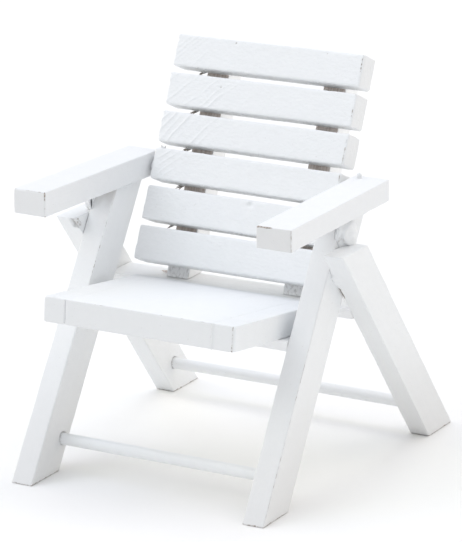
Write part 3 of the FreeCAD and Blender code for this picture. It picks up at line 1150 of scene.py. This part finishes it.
def glue_blob(solids):
    """Lumpy closed beads, one for each (centre, three radii, seed, walls), in mm.

    walls are (axis, sign, place): the bead doesn't reach past that place.
    """
    points = []
    faces = []
    around = BEAD_AROUND
    for centre, radii, seed, walls in solids:
        start = len(points)
        angles = [(0.0, 0.0)]
        for ring in range(1, BEAD_UP):
            for corner in range(around):
                angles.append((ring / BEAD_UP * math.pi, corner / around * 2 * math.pi))
        angles.append((math.pi, 0.0))
        tilt, turn = np.array(angles).T
        unit = np.stack([np.cos(tilt), np.sin(tilt) * np.cos(turn), np.sin(tilt) * np.sin(turn)], 1)
        lumps = 1 + 0.12 * noise(unit, 0.5, seed) + 0.06 * noise(unit, 0.22, seed + 1)
        rings = 0.05 * np.sin(tilt * 11.0 + 1.5 * noise(unit, 0.8, seed + 2))
        blob = np.array(centre) + unit * np.array(radii) * (lumps + rings)[:, None]
        for axis, sign, place in walls:
            blob[:, axis] = sign * np.minimum(sign * blob[:, axis], sign * place)
        points.extend(blob)
        last = start + 1 + (BEAD_UP - 1) * around
        for corner in range(around):
            after = (corner + 1) % around
            faces.append([start, start + 1 + corner, start + 1 + after])
            for ring in range(BEAD_UP - 2):
                first = start + 1 + ring * around
                faces.append([
                    first + corner, first + around + corner, first + around + after, first + after,
                ])
            first = last - around
            faces.append([first + corner, last, first + after])
    return np.array(points), faces


def add_glue():
    """Set glue: a bead over each rear leg's top, and at each end of slat 4, with a peak."""
    low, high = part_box("leg_glue")
    reach = (high.y - low.y) / 2 / MM
    beads = []
    for side, sign in SIDES.items():
        leg_low, leg_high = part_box(f"rear_leg_{side}")
        arm_low, _arm_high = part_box(f"armrest_{side}")
        wall = (leg_low.x if sign > 0 else leg_high.x) / MM
        centre = (wall - sign * 0.6, (low.y + high.y) / 2 / MM, (low.z + high.z) / 2 / MM - 0.6)
        top = arm_low.z / MM + 0.4
        walls = [
            (X, -sign, wall - sign * 0.7),
            (Z, -1, leg_high.z / MM - 0.3),
            (Z, 1, top),
        ]
        radii = (LEG_BEAD_ACROSS, reach * 1.06, LEG_BEAD_UP)
        beads.append((centre, radii, 140 + sign, walls))
    points, faces = glue_blob(beads)
    built = mesh_object("leg-glue", points * MM, faces)
    mottled = 0.3 * step(noise(points, 1.4, 143), 0.2, 0.9)
    right_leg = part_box("rear_leg_right")[0].x / MM
    # Painted shade: a dark spot for a small pit in the glue, which the mesh doesn't have.
    pit_shade = spot(points, (right_leg + 2.0, low.y / MM + 0.3, low.z / MM + 2.2), (1.7, 0.7, 0.8))
    settle(built, "leg_glue", "set_glue", points, X, np.maximum(mottled, 1.2 * pit_shade), 5)

    low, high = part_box("back_glue")
    slat_low, slat_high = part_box("back_slat_4")
    beads = []
    for sign, end, reach in ((-1, slat_low.x, low.x), (1, slat_high.x, high.x)):
        middle = ((end + reach) / 2 / MM, (low.y + high.y) / 2 / MM, (low.z + high.z) / 2 / MM)
        half_width = abs(reach - end) / 2 / MM + 0.5
        walls = [(X, sign, reach / MM + sign * 0.25)]
        radii = (half_width, BACK_BEAD_RADIUS, BACK_BEAD_RADIUS)
        beads.append((middle, radii, 150 + sign, walls))
    peak = Stick("back_slat_4").place(np.array([PEAK_PLACE]))[0] / MM
    beads.append((peak, PEAK_RADII, 152, []))
    points, faces = glue_blob(beads)
    built = mesh_object("back-glue", points * MM, faces)
    mottled = 0.25 * step(noise(points, 1.0, 153), 0.2, 0.9)
    settle(built, "back_glue", "set_glue", points, X, mottled, 6)


add_legs()
add_armrests()
add_seat()
add_rails()
add_slats()
add_uprights()
add_stretcher("front_stretcher", 160)
add_stretcher("rear_stretcher", 164)
add_glue()


# ---- Stage ----
def add_floor():
    half = FLOOR_SIZE / 2
    points = np.array([(-half, -half, 0), (half, -half, 0), (half, half, 0), (-half, half, 0)])
    floor = mesh_object("floor", points, [[0, 1, 2, 3]])
    floor.data.materials.append(plain_floor())


def toward(azimuth, elevation):
    """The direction from the chair to a place at this azimuth (0 is in front) and height."""
    turn = math.radians(azimuth)
    rise = math.radians(elevation)
    return Vector((
        math.sin(turn) * math.cos(rise),
        -math.cos(turn) * math.cos(rise),
        math.sin(rise),
    ))


def add_lights():
    world = bpy.data.worlds.new("studio")
    world.use_nodes = True
    background = world.node_tree.nodes["Background"]
    background.inputs["Color"].default_value = opaque(WORLD_COLOUR)
    background.inputs["Strength"].default_value = WORLD_STRENGTH
    bpy.context.scene.world = world
    for name, (azimuth, elevation, spread, strength, colour) in SOFT_LIGHTS.items():
        light = bpy.data.lights.new(name, "SUN")
        light.angle = math.radians(spread)
        light.energy = strength
        light.color = colour
        lamp = bpy.data.objects.new(name, light)
        lamp.rotation_mode = "QUATERNION"
        lamp.rotation_quaternion = toward(azimuth, elevation).to_track_quat("Z", "Y")
        bpy.context.scene.collection.objects.link(lamp)


def add_camera():
    back = toward(CAMERA_AZIMUTH, CAMERA_ELEVATION)
    turn = back.to_track_quat("Z", "Y").to_matrix().to_4x4()
    roll = Matrix.Rotation(math.radians(CAMERA_ROLL), 4, "Z")
    data = bpy.data.cameras.new("camera")
    data.lens = CAMERA_LENS
    data.clip_start = 0.01
    data.clip_end = 100
    camera = bpy.data.objects.new("camera", data)
    place = Matrix.Translation(CAMERA_TARGET + back * CAMERA_DISTANCE)
    camera.matrix_world = place @ turn @ roll
    bpy.context.scene.collection.objects.link(camera)
    bpy.context.scene.camera = camera


add_floor()
add_lights()
add_camera()
view = bpy.context.scene.view_settings
view.view_transform = "Standard"
view.look = "None"
